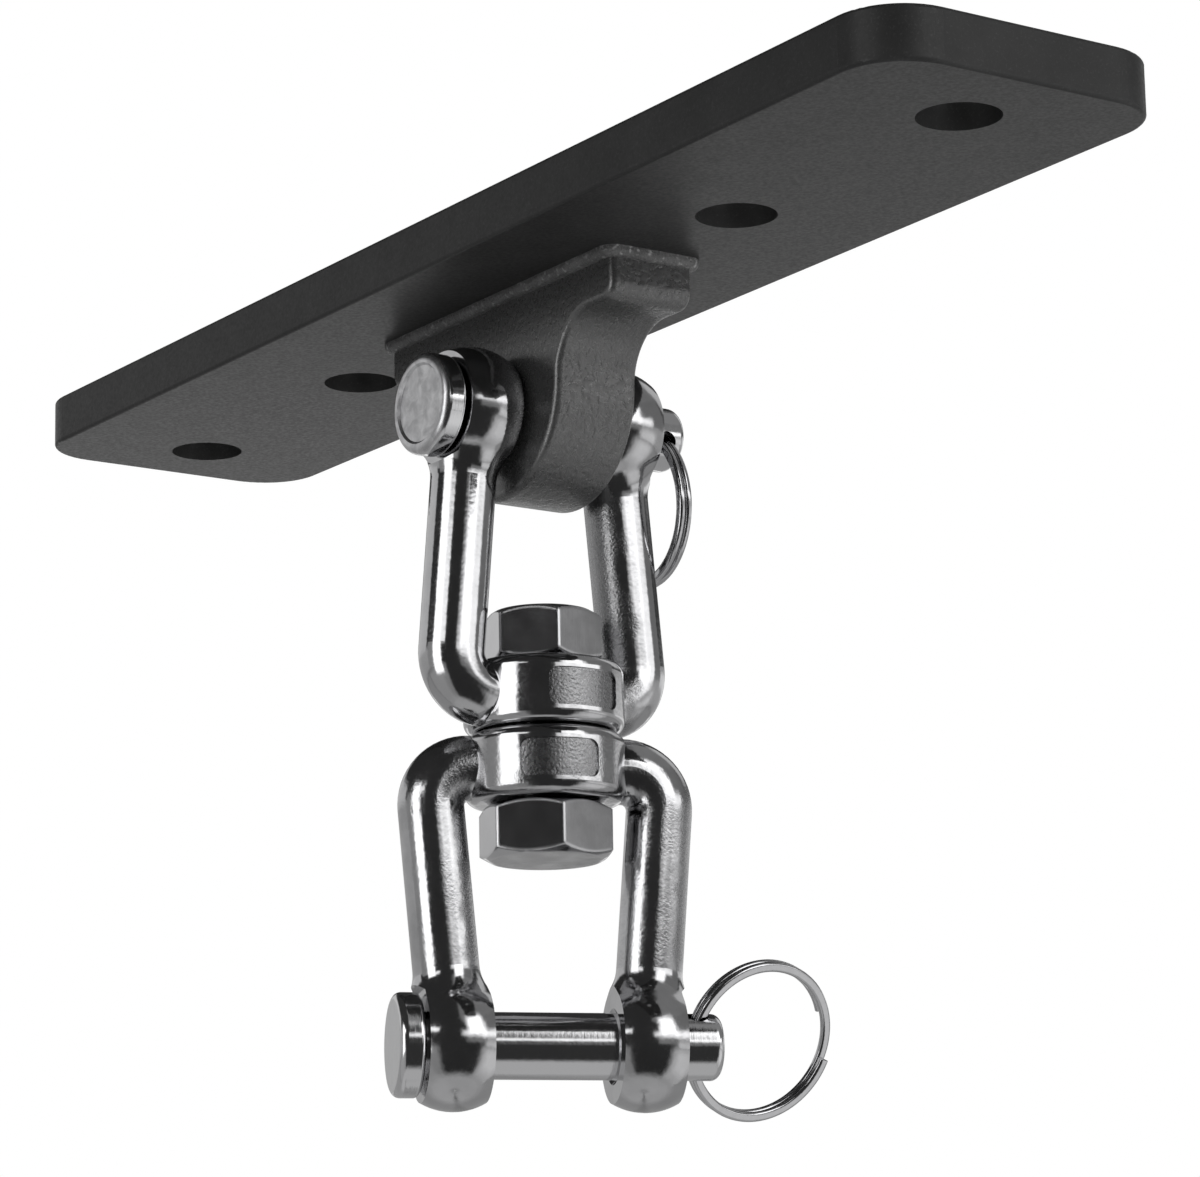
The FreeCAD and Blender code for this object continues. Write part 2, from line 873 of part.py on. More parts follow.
def ring_placement(pin_placement, hole, swing):
    """A ring threaded through a pin's cross hole. A swing of zero hangs it down from an upright
    pin with its hole level, and a swing of 90 degrees stands it straight out along the pin."""
    middle = (size("ring_radius") - size("ring_wire_height") / 2).number
    to_centre = middle - (ring_bow() / 2).number
    level_at_hole = 180.0 * (size("ring_turns").number - 1)
    own_turn = FreeCAD.Rotation(Z_AXIS, 180.0 - level_at_hole)
    stand = FreeCAD.Rotation(Z_AXIS * -1, X_AXIS * -1, Y_AXIS, "XZY")
    ring = FreeCAD.Placement(FreeCAD.Vector(0, 0, 0), own_turn)
    hang = FreeCAD.Placement(FreeCAD.Vector(0, 0, -to_centre), FreeCAD.Rotation())
    turn = FreeCAD.Placement(FreeCAD.Vector(0, hole.number, 0), FreeCAD.Rotation(X_AXIS, swing))
    upright = FreeCAD.Placement(FreeCAD.Vector(0, 0, 0), stand)
    return pin_placement.multiply(turn).multiply(hang).multiply(upright).multiply(ring)


lower_pin.Placement = FreeCAD.Placement(
    FreeCAD.Vector(0, 0, lower_pin_height.number),
    FreeCAD.Rotation(Z_AXIS, -size("lower_jaw_angle").number).multiply(
        FreeCAD.Rotation(Y_AXIS, -size("lower_pin_angle").number)
    ),
)
upper_hole = cross_hole_place(
    size("upper_jaw_gap"), size("upper_ear_thickness"), size("upper_ring_room")
)
lower_hole = cross_hole_place(
    size("lower_jaw_gap"), size("lower_ear_thickness"), size("lower_ring_room")
)
upper_ring.Placement = ring_placement(
    upper_pin.Placement, upper_hole, size("upper_ring_angle").number
)
lower_ring.Placement = ring_placement(
    lower_pin.Placement, lower_hole, size("lower_ring_angle").number
)

# Tests and files

document.recompute()
for item in document.Objects:
    if "Invalid" in item.State or "Error" in item.State:
        raise RuntimeError(f"{item.Name} failed: {item.State}")

sub_parts = [item for item in document.Objects if item.TypeId == "PartDesign::Body"]
for body in sub_parts:
    shape = body.Shape
    if shape.isNull() or not shape.isValid() or len(shape.Solids) != 1:
        raise RuntimeError(f"{body.Label} is not one valid solid")
for body in sub_parts:
    body.Shape.exportStep(f"parts/{body.Label}.step")
    box = body.Shape.BoundBox
    print(
        f"{body.Label}: volume {body.Shape.Volume:.1f}, "
        f"x {box.XMin:.2f} {box.XMax:.2f}, y {box.YMin:.2f} {box.YMax:.2f}, "
        f"z {box.ZMin:.2f} {box.ZMax:.2f}"
    )
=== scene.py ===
import json
import math
from typing import NamedTuple

import bmesh
import bpy
from mathutils import Matrix, Vector


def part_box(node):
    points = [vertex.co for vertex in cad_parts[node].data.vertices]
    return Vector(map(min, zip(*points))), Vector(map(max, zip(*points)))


MM = 0.001

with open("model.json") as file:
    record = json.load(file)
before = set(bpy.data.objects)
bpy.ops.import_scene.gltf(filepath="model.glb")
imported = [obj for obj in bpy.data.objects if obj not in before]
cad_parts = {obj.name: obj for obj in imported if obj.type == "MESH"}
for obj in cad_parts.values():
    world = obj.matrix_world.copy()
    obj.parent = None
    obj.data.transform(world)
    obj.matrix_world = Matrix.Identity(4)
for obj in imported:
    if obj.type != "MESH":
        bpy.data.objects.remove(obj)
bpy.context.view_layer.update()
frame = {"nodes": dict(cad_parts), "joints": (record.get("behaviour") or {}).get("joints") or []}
scene = bpy.context.scene
nodes = frame["nodes"]
joints = {joint["name"]: joint for joint in frame["joints"]}
scene.view_settings.view_transform = "Standard"


# Camera, at the photograph's viewing angle

CAMERA_AZIMUTH = math.radians(55.676)
CAMERA_ELEVATION = math.radians(-12.758)
CAMERA_ROLL = math.radians(-1.11)
CAMERA_DISTANCE = 690.8 * MM
CAMERA_ASIDE = 9.83 * MM
CAMERA_UP = -51.59 * MM
CAMERA_NEAR = 0.01
CAMERA_FAR = 50.0
FOCAL_PIXELS = 4471.2
PHOTO_WIDTH = 1200
SENSOR_WIDTH = 36.0


def camera_frame():
    """The camera's right, up and back directions."""
    level = math.cos(CAMERA_ELEVATION)
    back = Vector(
        (
            math.sin(CAMERA_AZIMUTH) * level,
            -math.cos(CAMERA_AZIMUTH) * level,
            math.sin(CAMERA_ELEVATION),
        )
    )
    right = Vector((math.cos(CAMERA_AZIMUTH), math.sin(CAMERA_AZIMUTH), 0.0))
    up = back.cross(right)
    turn = Matrix.Rotation(CAMERA_ROLL, 3, back)
    return turn @ right, turn @ up, back


def make_camera():
    right, up, back = camera_frame()
    lens = bpy.data.cameras.new("camera")
    lens.sensor_width = SENSOR_WIDTH
    lens.lens = FOCAL_PIXELS / PHOTO_WIDTH * SENSOR_WIDTH
    lens.clip_start = CAMERA_NEAR
    lens.clip_end = CAMERA_FAR
    camera = bpy.data.objects.new("camera", lens)
    scene.collection.objects.link(camera)
    turn = Matrix((right, up, back)).transposed().to_4x4()
    place = CAMERA_ASIDE * right + CAMERA_UP * up + CAMERA_DISTANCE * back
    camera.matrix_world = Matrix.Translation(place) @ turn
    scene.camera = camera


# Node trees

NOISE_ROUGHNESS = 0.55
NOISE_DETAIL = 3.0
NOISE_SPREAD = (0.3, 0.7)  # where nearly all of a noise's values lie
NOISE_MIDDLE = (0.35, 0.65)  # where most of them lie
BEVEL_SAMPLES = 8


class Nodes:
    """A node tree, with short calls for the nodes that the stage and the finishes share."""

    def __init__(self, tree):
        self.tree = tree

    def new(self, kind):
        return self.tree.nodes.new("ShaderNode" + kind)

    def link(self, source, target):
        """Leads a socket to the target, or sets the target to a number."""
        if isinstance(source, (int, float)):
            target.default_value = source
        else:
            self.tree.links.new(source, target)

    def math(self, operation, first, second=0.0, clamp=False):
        node = self.new("Math")
        node.operation = operation
        node.use_clamp = clamp
        self.link(first, node.inputs[0])
        self.link(second, node.inputs[1])
        return node.outputs[0]

    def distance(self, first, second):
        """How far from zero two coordinates lie together."""
        squares = self.math("ADD", self.math("POWER", first, 2.0), self.math("POWER", second, 2.0))
        return self.math("SQRT", squares)

    def parts(self, vector):
        node = self.new("SeparateXYZ")
        self.link(vector, node.inputs[0])
        return node.outputs

    def joined(self, x, y):
        node = self.new("CombineXYZ")
        self.link(x, node.inputs["X"])
        self.link(y, node.inputs["Y"])
        return node.outputs[0]

    def ranged(self, value, source, target=(0.0, 1.0), smooth=False):
        """A value led from one range to another, and held at its ends."""
        node = self.new("MapRange")
        node.interpolation_type = "SMOOTHSTEP" if smooth else "LINEAR"
        self.link(value, node.inputs["Value"])
        node.inputs["From Min"].default_value = source[0]
        node.inputs["From Max"].default_value = source[1]
        node.inputs["To Min"].default_value = target[0]
        node.inputs["To Max"].default_value = target[1]
        return node.outputs["Result"]


class Finish(Nodes):
    """A piece's finish: a Principled shader, and nodes that know the place on the piece."""

    def __init__(self, name):
        self.material = bpy.data.materials.new(name)
        self.material.use_nodes = True
        super().__init__(self.material.node_tree)
        self.shader = self.tree.nodes["Principled BSDF"]
        self.place = self.new("TexCoord").outputs["Object"]

    def turned(self, degrees=0.0, height=0.0, scale=(1.0, 1.0, 1.0)):
        """The place measured from a height, turned about Z by so many degrees and then scaled."""
        shift = self.new("VectorMath")
        shift.operation = "SUBTRACT"
        self.link(self.place, shift.inputs[0])
        shift.inputs[1].default_value = (0.0, 0.0, height)
        turn = self.new("Mapping")
        turn.vector_type = "POINT"
        self.link(shift.outputs[0], turn.inputs["Vector"])
        turn.inputs["Rotation"].default_value = (0.0, 0.0, math.radians(degrees))
        stretch = self.new("VectorMath")
        stretch.operation = "MULTIPLY"
        self.link(turn.outputs[0], stretch.inputs[0])
        stretch.inputs[1].default_value = scale
        return stretch.outputs[0]

    def noise(self, size, detail=NOISE_DETAIL, vector=None, warp=0.0):
        """Noise whose lumps are about that many metres across."""
        node = self.new("TexNoise")
        self.link(vector or self.place, node.inputs["Vector"])
        node.inputs["Scale"].default_value = 1.0 / size
        node.inputs["Detail"].default_value = detail
        node.inputs["Roughness"].default_value = NOISE_ROUGHNESS
        node.inputs["Distortion"].default_value = warp
        return node.outputs["Fac"]

    def colour(self, value, low, high):
        """A colour between two, picked by a value from 0 to 1."""
        node = self.new("Mix")
        node.data_type = "RGBA"
        self.link(value, node.inputs["Factor"])
        node.inputs["A"].default_value = (*low, 1.0)
        node.inputs["B"].default_value = (*high, 1.0)
        return node.outputs["Result"]

    def bump(self, height, depth, under=None, strength=1.0):
        """A bump whose full height is that many metres."""
        node = self.new("Bump")
        node.inputs["Distance"].default_value = depth
        self.link(strength, node.inputs["Strength"])
        self.link(height, node.inputs["Height"])
        if under is not None:
            self.link(under, node.inputs["Normal"])
        return node.outputs["Normal"]

    def soft_edges(self, radius):
        """The normal with every edge rounded off by that radius."""
        node = self.new("Bevel")
        node.samples = BEVEL_SAMPLES
        node.inputs["Radius"].default_value = radius
        return node.outputs["Normal"]

    def finished(self, colour, roughness, normal, metallic=0.0):
        """The material, once its shader has all of these."""
        self.link(colour, self.shader.inputs["Base Color"])
        self.link(roughness, self.shader.inputs["Roughness"])
        self.link(normal, self.shader.inputs["Normal"])
        self.shader.inputs["Metallic"].default_value = metallic
        return self.material


# Stage: a pale floor well below the object, white surroundings, and cards and lamps round it

MIDDLE = Vector((0.0, 0.0, -70.0 * MM))
FLOOR_HEIGHT = -0.6
FLOOR_HALF = 4.0
FLOOR_GREY = 0.82
FLOOR_ROUGHNESS = 0.8
BACKGROUND_GLOW = 1.0
ROOM_GLOW = 0.55

# How many faces a card has along its width and up its height
CARD_STEPS_ALONG = 24
CARD_STEPS_UP = 16

# Each card: its name, how far off it stands, its two sides and its two heights in degrees, how
# brightly it glows, and over how many degrees its edges fade. The low ones stand nearer, so that
# they clear the floor.
CARDS = [
    ("dark_room", 1.60, (-180, 180), (-20, 88), 0.035, 0.01),
    ("low_room", 0.53, (-180, 180), (-89, -11), 0.035, 0.01),
    ("left_softbox", 1.45, (-70, -34), (-20, 30), 2.4, 7),
    ("left_softbox_foot", 0.50, (-70, -34), (-24, -6), 2.4, 6),
    ("left_softbox_edge", 1.46, (-90, -62), (-20, 20), 0.34, 4),
    ("left_softbox_corner", 1.44, (-44, -20), (14, 26), 1.7, 5),
    ("left_wall", 1.52, (-184, -84), (-20, 14), 0.46, 4),
    ("left_window", 1.50, (-164, -94), (6, 28), 0.66, 6),
    ("back_wall", 1.51, (150, 210), (-20, -3), 1.3, 4),
    ("right_softbox", 1.43, (23, 69), (3, 48), 2.3, 13),
    ("right_strip", 1.45, (52, 92), (3, 21), 1.7, 8),
    ("right_strip_end", 1.44, (14, 40), (5, 21), 1.3, 8),
    ("right_glow", 1.47, (22, 66), (-6, 12), 0.24, 6),
    ("right_low_window", 1.42, (56, 104), (-24, 6), 0.85, 12),
    ("right_wall_high", 1.55, (14, 150), (31, 78), 0.26, 8),
    ("right_wall_middle", 1.54, (60, 124), (2, 42), 0.22, 6),
    ("right_wall_low", 1.53, (60, 184), (-20, 10), 0.46, 5),
    ("right_window", 1.50, (116, 168), (0, 15), 0.9, 6),
    ("back_window", 1.49, (122, 160), (14, 54), 0.65, 10),
    ("low_left", 0.52, (-64, -18), (-70, -4), 0.32, 12),
    ("low_left_side", 0.51, (-108, -36), (-70, -4), 0.40, 14),
    ("low_left_back", 0.505, (-186, -94), (-70, -4), 0.36, 12),
    ("low_right_side", 0.51, (44, 114), (-70, -4), 0.55, 16),
    ("low_right_window", 0.49, (52, 108), (-56, -4), 0.8, 20),
    ("low_right_back", 0.505, (98, 186), (-70, -4), 0.36, 12),
    ("low_floor", 0.48, (-184, 184), (-96, -52), 0.50, 14),
]

# Each lamp: its name, its side and its height in degrees, how far off it stands, its width, its
# height, and its power
LAMPS = [
    ("key_lamp", 64, -4, 1.3, 0.7, 0.9, 20),
    ("fill_lamp", -50, 28, 1.3, 0.7, 0.9, 6),
    ("low_lamp", 10, -50, 0.6, 0.5, 0.5, 1.6),
]


def link_mesh(name, mesh):
    piece = bpy.data.objects.new(name, mesh)
    scene.collection.objects.link(piece)
    return piece


def make_floor():
    mesh = bpy.data.meshes.new("floor")
    signs = ((-1, -1), (1, -1), (1, 1), (-1, 1))
    corners = [(x * FLOOR_HALF, y * FLOOR_HALF, FLOOR_HEIGHT) for x, y in signs]
    mesh.from_pydata(corners, [], [(0, 1, 2, 3)])
    floor = link_mesh("floor", mesh)
    paint = bpy.data.materials.new("pale_floor")
    paint.use_nodes = True
    shader = paint.node_tree.nodes["Principled BSDF"]
    shader.inputs["Base Color"].default_value = (FLOOR_GREY, FLOOR_GREY, FLOOR_GREY, 1.0)
    shader.inputs["Roughness"].default_value = FLOOR_ROUGHNESS
    mesh.materials.append(paint)


def make_world():
    """White behind the object and in its gloss, and dimmer as the light on it."""
    world = bpy.data.worlds.new("studio")
    world.use_nodes = True
    scene.world = world
    n = Nodes(world.node_tree)
    n.tree.nodes.clear()
    ray = n.new("LightPath").outputs
    seen = n.math("MAXIMUM", ray["Is Camera Ray"], ray["Is Glossy Ray"])
    seen = n.math("MAXIMUM", seen, ray["Is Transmission Ray"])
    background = n.new("Background")
    background.inputs["Color"].default_value = (1.0, 1.0, 1.0, 1.0)
    strength = n.ranged(seen, (0.0, 1.0), (ROOM_GLOW, BACKGROUND_GLOW))
    n.link(strength, background.inputs["Strength"])
    n.link(background.outputs[0], n.new("OutputWorld").inputs["Surface"])


def direction(aside, height):
    """A direction from the object, in degrees to the right of the camera's side and above level."""
    azimuth = CAMERA_AZIMUTH - math.pi / 2 + math.radians(aside)
    level = math.cos(math.radians(height))
    return Vector(
        (math.cos(azimuth) * level, math.sin(azimuth) * level, math.sin(math.radians(height)))
    )


def card_mesh(name, radius, sides, heights):
    """A curved sheet round the object, with a map of its degrees from its first side and height."""
    along = (sides[1] - sides[0]) / CARD_STEPS_ALONG
    up = (heights[1] - heights[0]) / CARD_STEPS_UP
    bm = bmesh.new()
    grid = []
    for i in range(CARD_STEPS_ALONG + 1):
        column = []
        for j in range(CARD_STEPS_UP + 1):
            toward = direction(sides[0] + i * along, heights[0] + j * up)
            column.append(bm.verts.new(MIDDLE + toward * radius))
        grid.append(column)
    degrees = bm.loops.layers.uv.new("degrees")
    for i in range(CARD_STEPS_ALONG):
        for j in range(CARD_STEPS_UP):
            corners = ((i, j), (i + 1, j), (i + 1, j + 1), (i, j + 1))
            face = bm.faces.new([grid[a][b] for a, b in corners])
            for loop, (a, b) in zip(face.loops, corners):
                loop[degrees].uv = (a * along, b * up)
    mesh = bpy.data.meshes.new(name)
    bm.to_mesh(mesh)
    bm.free()
    return mesh


def card_paint(name, width, height, strength, soft):
    """A glow that fades out over so many degrees at the card's edges."""
    paint = bpy.data.materials.new(name)
    paint.use_nodes = True
    n = Nodes(paint.node_tree)
    n.tree.nodes.clear()
    degrees = n.new("UVMap")
    degrees.uv_map = "degrees"
    place = n.parts(degrees.outputs[0])
    fades = []
    for coordinate, span in ((place["X"], width), (place["Y"], height)):
        off_middle = n.math("ABSOLUTE", n.math("SUBTRACT", coordinate, span / 2))
        fade_start = span / 2 - min(soft, span / 2)
        fades.append(n.ranged(off_middle, (span / 2, fade_start), smooth=True))
    glow = n.new("Emission")
    glow.inputs["Strength"].default_value = strength
    mix = n.new("MixShader")
    n.link(n.math("MULTIPLY", *fades), mix.inputs["Fac"])
    n.link(n.new("BsdfTransparent").outputs[0], mix.inputs[1])
    n.link(glow.outputs[0], mix.inputs[2])
    n.link(mix.outputs[0], n.new("OutputMaterial").inputs["Surface"])
    return paint


def make_card(name, radius, sides, heights, strength, soft):
    """A card that only the object's gloss sees."""
    mesh = card_mesh(name, radius, sides, heights)
    card = link_mesh(name, mesh)
    width, height = sides[1] - sides[0], heights[1] - heights[0]
    mesh.materials.append(card_paint(name, width, height, strength, soft))
    card.visible_camera = False
    card.visible_diffuse = False
    card.visible_transmission = False
    card.visible_volume_scatter = False
    card.visible_shadow = False


def make_lamp(name, aside, height, distance, width, tall, power):
    """A lamp that the object's gloss doesn't see."""
    data = bpy.data.lights.new(name, "AREA")
    data.shape = "RECTANGLE"
    data.size = width
    data.size_y = tall
    data.energy = power
    lamp = bpy.data.objects.new(name, data)
    scene.collection.objects.link(lamp)
    toward = direction(aside, height)
    lamp.location = MIDDLE + toward * distance
    lamp.rotation_euler = toward.to_track_quat("Z", "Y").to_euler()
    lamp.visible_glossy = False


def make_stage():
    make_floor()
    make_world()
    for card in CARDS:
        make_card(*card)
    for lamp in LAMPS:
        make_lamp(*lamp)


# Black powder coats: one coat, with darker greys on the plate as painted shade and paler greys on
# the lug as painted light

CLOUD_SIZE = 9 * MM
CLOUD_SHARE = 0.6
SPECK_SHARE = 0.5
SPECK_VALUES = (0.60, 0.72)  # the noise's values over which a speck comes up
CREASE_SIZE = 1.2 * MM
CREASE_WARP = 0.5
COAT_DETAIL = 4.0

LUG_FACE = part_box("hanger_lug")[1][1]
FADE_WIDTH = 1.2 * MM  # over which the creases fade towards the lug's flat faces
FADE_MARGIN = 0.05 * MM
FADED_CREASES = 0.3


class Coat(NamedTuple):
    """What one powder coat has of its own."""

    peel: float  # the size of its orange peel
    peel_depth: float
    roughness: tuple
    greys: tuple  # its darkest and its palest
    crease_depth: float
    gloss: float  # its index of refraction
    speck: float  # the size of its specks


# painted shade: the same black powder coat as the lug's, given darker greys so that the plate's
# sides read darker
SHADED_PLATE_COAT = Coat(
    peel=0.6 * MM,
    peel_depth=0.010 * MM,
    roughness=(0.35, 0.48),
    greys=(0.008, 0.022),
    crease_depth=0.0,
    gloss=1.3,
    speck=0.35 * MM,
)
# painted light: the same black powder coat as the plate's, given paler greys so that the lug's near
# face and rim read lighter
LIT_LUG_COAT = Coat(
    peel=0.6 * MM,
    peel_depth=0.03 * MM,
    roughness=(0.23, 0.36),
    greys=(0.016, 0.034),
    crease_depth=0.22 * MM,
    gloss=1.95,
    speck=0.35 * MM,
)
WELD_COAT = Coat(
    peel=0.5 * MM,
    peel_depth=0.30 * MM,
    roughness=(0.45, 0.58),
    greys=(0.002, 0.16),
    crease_depth=0.12 * MM,
    gloss=1.45,
    speck=0.75 * MM,
)


def black_coat(name, coat):
    """Satin black powder coat: a fine orange peel with small bright specks, over creases that
    fade on the lug's flat faces."""
    n = Finish(name)
    peel = n.noise(coat.peel, detail=COAT_DETAIL)
    cloud = n.math("MULTIPLY", n.noise(CLOUD_SIZE, detail=2.0), CLOUD_SHARE)
    specks = n.ranged(n.noise(coat.speck, detail=1.0), SPECK_VALUES)
    tone = n.math("ADD", cloud, n.math("MULTIPLY", specks, SPECK_SHARE), clamp=True)
    colour = n.colour(tone, [coat.greys[0]] * 3, [coat.greys[1]] * 3)
    roughness = n.ranged(peel, NOISE_SPREAD, coat.roughness)
    creases = n.noise(CREASE_SIZE, detail=COAT_DETAIL, warp=CREASE_WARP)
    aside = n.math("ABSOLUTE", n.parts(n.place)["Y"])
    faded = LUG_FACE - FADE_MARGIN
    strength = n.ranged(aside, (faded - FADE_WIDTH, faded), (1.0, FADED_CREASES))
    normal = n.bump(creases, coat.crease_depth, strength=strength)
    normal = n.bump(peel, coat.peel_depth, under=normal)
    n.shader.inputs["IOR"].default_value = coat.gloss
    return n.finished(colour, roughness, normal)


# Forged jaws

EYE_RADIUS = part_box("upper_jaw")[1][0]
EYE_HALF = 5.25 * MM
PAD_HALF_WIDTH = 6.0 * MM
PAD_HALF_HEIGHT = 2.9 * MM
BALL_END = 9.0 * MM  # how far from the pin the grain may begin
NECK_END = 13.0 * MM  # and how far from it the grain is there in full
GRAIN_START = 1.7 * MM  # the same, outwards from the middle of a leg
GRAIN_FULL = 3.6 * MM
GRAIN_WANDER = 1.2 * MM

CAST_GREY = (0.10, 0.10, 0.103)
POLISHED_GREY = (0.66, 0.66, 0.67)
LEAST_BRIGHT = 0.55
GRAIN_DIMMING = 0.45
# painted shade: the share by which the colour of the recessed pad's floor is darkened
PAD_SHADE_DIMMING = 0.55
JAW_POLISH = (0.08, 0.14)
CAST_ROUGHNESS = 0.16

LUMP_SIZE = 2.4 * MM
LUMP_DEPTH = 0.024 * MM
RIPPLE_SIZE = 0.6 * MM
RIPPLE_DEPTH = 0.006 * MM
GRAIN_SIZE = 0.40 * MM
GRAIN_DEPTH = 0.075 * MM
POLISHED_GRAIN = 0.015  # how much of the grain's depth is left on polished steel


class Jaw(NamedTuple):
    """A jaw's place and shape, and where its legs keep a cast grain."""

    turn: float  # degrees about the swivel's line
    pin_height: float
    way: int  # 1 where the eye is above the pin, and -1 where it is below
    eye_face: float  # the height of the eye's face at the other jaw
    ear_centre: float  # how far off the swivel's line an ear is, along the pin
    lean: float  # how far outwards a leg leans, for each metre from the pin
    rawness: float  # how strongly the grain shows in patches all over the legs
    left_grain: int  # the grainy side of the leg at -Y: 1 for its +Y side, -1 for -Y, 0 for none
    right_grain: int  # the same for the leg at +Y


def pin_height(joint):
    return joints[joint]["pos_m"][2]


def pin_turn(joint):
    """How many degrees a pin's axis is turned away from +Y."""
    axis = joints[joint]["axis"]
    return math.degrees(math.atan2(axis[0], axis[1]))


UPPER_JAW = Jaw(
    turn=pin_turn("upper_pin_turn"),
    pin_height=pin_height("upper_pin_turn"),
    way=-1,
    eye_face=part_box("upper_jaw")[0][2],
    ear_centre=12.9 * MM,
    lean=0.0917,
    rawness=0.0,
    left_grain=0,
    right_grain=-1,
)
LOWER_JAW = Jaw(
    turn=pin_turn("lower_pin_turn"),
    pin_height=pin_height("lower_pin_turn"),
    way=1,
    eye_face=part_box("lower_jaw")[1][2],
    ear_centre=14.55 * MM,
    lean=0.0829,
    rawness=0.35,
    left_grain=1,
    right_grain=1,
)


def leg_grain(n, jaw, local, from_pin, out, above):
    """1 where a leg keeps its cast grain, because the wheel doesn't reach there."""
    centre_line = n.math("ADD", n.math("MULTIPLY", from_pin, jaw.lean), jaw.ear_centre)
    beyond = n.math("SUBTRACT", n.math("ABSOLUTE", local["Y"]), centre_line)
    across = n.math("MULTIPLY", beyond, n.math("SIGN", local["Y"]))
    side = n.ranged(local["Y"], (-1.0 * MM, 1.0 * MM), (jaw.left_grain, jaw.right_grain))
    wander = n.ranged(n.noise(5 * MM, detail=2.0), NOISE_SPREAD, (-GRAIN_WANDER, GRAIN_WANDER))
    across = n.math("ADD", n.math("MULTIPLY", across, side), wander)
    grain = n.ranged(across, (GRAIN_START, GRAIN_FULL), smooth=True)
    past_eye = n.ranged(out, (EYE_RADIUS + 0.1 * MM, EYE_RADIUS + 0.8 * MM))
    past_rim = n.ranged(above, (EYE_HALF + 0.35 * MM, EYE_HALF + 1.15 * MM))
    off_eye = n.math("MAXIMUM", past_eye, past_rim)
    off_ball = n.ranged(from_pin, (BALL_END, NECK_END))
    grain = n.math("MULTIPLY", n.math("MULTIPLY", grain, off_eye), off_ball)
    patches = n.ranged(n.noise(7 * MM), (0.40, 0.62), (0.0, jaw.rawness), smooth=True)
    return n.math("MAXIMUM", grain, n.math("MULTIPLY", patches, off_ball))


def pad_floor(n, local, out, above):
    """1 on the floor of the recessed pad at the front of the eye."""
    aside = n.math("ABSOLUTE", local["Y"])
    sunk = n.ranged(out, (EYE_RADIUS - 0.05 * MM, EYE_RADIUS - 0.25 * MM))
    in_width = n.ranged(aside, (PAD_HALF_WIDTH + 0.1 * MM, PAD_HALF_WIDTH - 0.2 * MM))
    in_height = n.ranged(above, (PAD_HALF_HEIGHT + 0.1 * MM, PAD_HALF_HEIGHT - 0.2 * MM))
    in_front = n.math("GREATER_THAN", local["X"], 0.0)
    floor = n.math("MULTIPLY", n.math("MULTIPLY", in_width, in_height), in_front)
    return n.math("MULTIPLY", floor, sunk)


def dimmed(n, bright, where, dimming):
    """Brightness, less that share of itself where the value is 1."""
    return n.math("MULTIPLY", bright, n.math("SUBTRACT", 1.0, n.math("MULTIPLY", where, dimming)))


def forged_steel(name, jaw):
    """Polished cast stainless steel, with a cast grain on parts of the legs and in the pad, and
    painted shade that dims the pad's recessed floor.
    """
    n = Finish(name)
    local = n.parts(n.turned(degrees=jaw.turn))
    from_pin = n.math("MULTIPLY", n.math("SUBTRACT", local["Z"], jaw.pin_height), jaw.way)
    reach = (jaw.eye_face - jaw.pin_height) * jaw.way - EYE_HALF
    above = n.math("ABSOLUTE", n.math("SUBTRACT", from_pin, reach))
    out = n.distance(local["X"], local["Y"])
    grainy = leg_grain(n, jaw, local, from_pin, out, above)
    floor = pad_floor(n, local, out, above)
    cast = n.math("MAXIMUM", grainy, floor)
    bright = n.ranged(n.noise(6 * MM), (0.0, 1.0), (LEAST_BRIGHT, 1.0))
    bright = dimmed(n, bright, grainy, GRAIN_DIMMING)
    # painted shade: the recessed pad's floor is darkened in colour, on top of its real cast grain
    # and roughness
    bright = dimmed(n, bright, floor, PAD_SHADE_DIMMING)
    colour = n.colour(bright, CAST_GREY, POLISHED_GREY)
    ripple = n.noise(RIPPLE_SIZE)
    polish = n.ranged(ripple, NOISE_MIDDLE, JAW_POLISH)
    roughness = n.math("ADD", polish, n.math("MULTIPLY", cast, CAST_ROUGHNESS))
    normal = n.bump(n.noise(LUMP_SIZE, detail=2.0), LUMP_DEPTH)
    normal = n.bump(ripple, RIPPLE_DEPTH, under=normal)
    pitted = n.ranged(cast, (0.0, 1.0), (POLISHED_GRAIN, 1.0))
    normal = n.bump(n.noise(GRAIN_SIZE, detail=2.0), GRAIN_DEPTH, under=normal, strength=pitted)
    return n.finished(colour, roughness, normal, metallic=1.0)


# Turned pins

BLOOM_GREY = (0.30, 0.30, 0.31)
TURNED_GREY = (0.68, 0.68, 0.69)
TURNED_POLISH = (0.08, 0.14)
BLOOM_SIZE = 2.2 * MM
BLOOM_WARP = 0.6
BLOOM_SHARE = 0.65
BLOOM_ROUGHNESS = 0.22
UPPER_BLOOM = 1.0
LOWER_BLOOM = 0.15
TOOL_RING_SIZE = 0.22 * MM
TOOL_RING_DEPTH = 0.005 * MM
TURNED_RIPPLE_SIZE = 0.8 * MM
TURNED_RIPPLE_DEPTH = 0.012 * MM


def head_face(pin, joint):
    """How far along its axis the face of a pin's head is, which is its end before the origin."""
    axis = Vector(joints[joint]["axis"])
    return min(vertex.co.dot(axis) for vertex in nodes[pin].data.vertices)


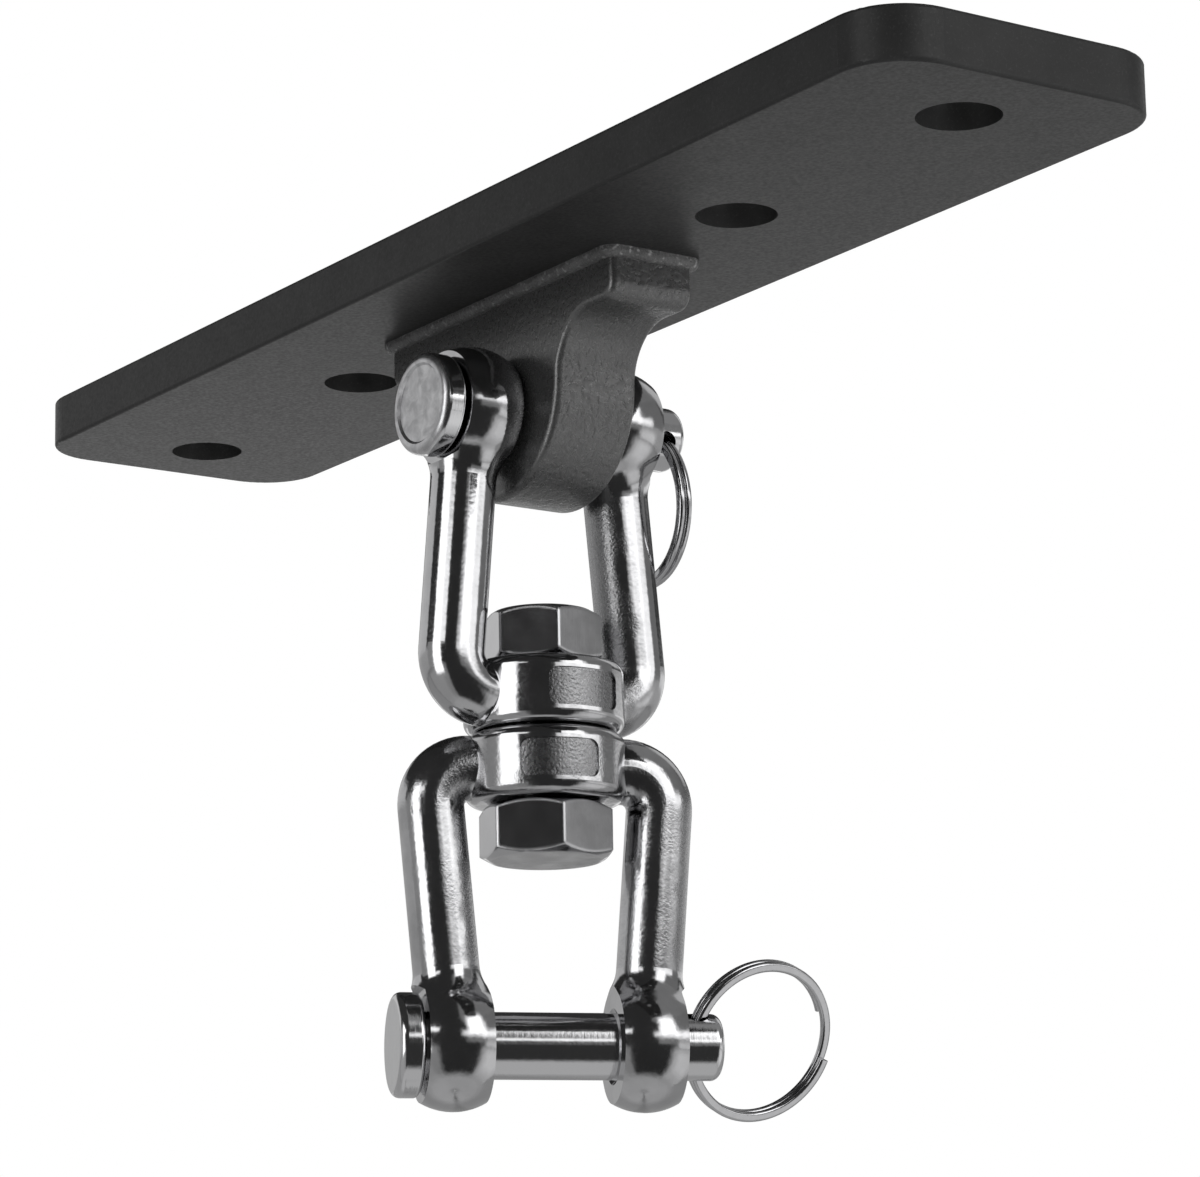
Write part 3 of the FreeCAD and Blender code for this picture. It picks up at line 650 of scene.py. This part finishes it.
def turned_steel(name, pin, joint, bloom):
    """Turned and polished stainless steel: fine rings round the shank, and rings and a mottled
    bloom on the face of the head, as strong as bloom says."""
    n = Finish(name)
    part = n.parts(n.turned(degrees=pin_turn(joint), height=pin_height(joint)))
    radius = n.distance(part["X"], part["Z"])
    face = head_face(pin, joint)
    on_face = n.ranged(part["Y"], (face + 0.9 * MM, face + 0.4 * MM))
    mottle = n.noise(BLOOM_SIZE, detail=4.0, warp=BLOOM_WARP)
    patch = n.ranged(mottle, NOISE_MIDDLE, (BLOOM_SHARE * bloom, 0.0))
    dark = n.math("MULTIPLY", on_face, patch, clamp=True)
    colour = n.colour(dark, TURNED_GREY, BLOOM_GREY)
    ripple = n.noise(TURNED_RIPPLE_SIZE)
    polish = n.ranged(ripple, NOISE_SPREAD, TURNED_POLISH)
    roughness = n.math("ADD", polish, n.math("MULTIPLY", on_face, BLOOM_ROUGHNESS * bloom))
    lines = n.noise(TOOL_RING_SIZE, detail=2.0, vector=n.joined(part["Y"], radius))
    normal = n.bump(ripple, TURNED_RIPPLE_DEPTH)
    normal = n.bump(lines, TOOL_RING_DEPTH, under=normal)
    return n.finished(colour, roughness, normal, metallic=1.0)


# Bolt and nut

HEX_GREYS = ((0.52, 0.52, 0.53), (0.62, 0.62, 0.63))
HEX_ROUGHNESS = (0.06, 0.10)
HEX_CORNER = 0.7 * MM
HEX_CLOUD_SIZE = 4 * MM
HEX_CLOUD_DEPTH = 0.004 * MM
STREAK_SIZE = 0.25 * MM
STREAK_SCALE = (1.0, 1.0, 0.08)
STREAK_DEPTH = 0.001 * MM


def hex_steel(name):
    """Plain bright hexes with softened corners and a faint drawn grain up the flats."""
    n = Finish(name)
    cloud = n.noise(HEX_CLOUD_SIZE)
    colour = n.colour(cloud, *HEX_GREYS)
    roughness = n.ranged(cloud, NOISE_SPREAD, HEX_ROUGHNESS)
    normal = n.bump(cloud, HEX_CLOUD_DEPTH, under=n.soft_edges(HEX_CORNER))
    streak = n.noise(STREAK_SIZE, vector=n.turned(scale=STREAK_SCALE))
    normal = n.bump(streak, STREAK_DEPTH, under=normal)
    return n.finished(colour, roughness, normal, metallic=1.0)


# Split rings

WIRE_GREYS = ((0.48, 0.48, 0.49), (0.60, 0.60, 0.61))
WIRE_ROUGHNESS = (0.05, 0.10)
WIRE_RIPPLE_SIZE = 0.9 * MM
WIRE_RIPPLE_DEPTH = 0.006 * MM


def ring_wire(name):
    """Bright spring wire with faint draw marks."""
    n = Finish(name)
    ripple = n.noise(WIRE_RIPPLE_SIZE)
    colour = n.colour(ripple, *WIRE_GREYS)
    roughness = n.ranged(ripple, NOISE_SPREAD, WIRE_ROUGHNESS)
    normal = n.bump(ripple, WIRE_RIPPLE_DEPTH)
    return n.finished(colour, roughness, normal, metallic=1.0)


# Which piece has which finish


def dress(material, *names):
    for name in names:
        for slot in nodes[name].material_slots:
            slot.material = material


def dress_all():
    dress(black_coat("shaded_plate_coat", SHADED_PLATE_COAT), "ceiling_plate")
    dress(black_coat("lit_lug_coat", LIT_LUG_COAT), "hanger_lug")
    dress(black_coat("weld_coat", WELD_COAT), "weld_bead")
    dress(forged_steel("upper_forging", UPPER_JAW), "upper_jaw")
    dress(forged_steel("lower_forging", LOWER_JAW), "lower_jaw")
    dress(turned_steel("upper_turning", "upper_pin", "upper_pin_turn", UPPER_BLOOM), "upper_pin")
    dress(turned_steel("lower_turning", "lower_pin", "lower_pin_turn", LOWER_BLOOM), "lower_pin")
    dress(hex_steel("bright_hex"), "swivel_bolt", "swivel_nut")
    dress(ring_wire("spring_wire"), "upper_split_ring", "lower_split_ring")


make_camera()
make_stage()
dress_all()
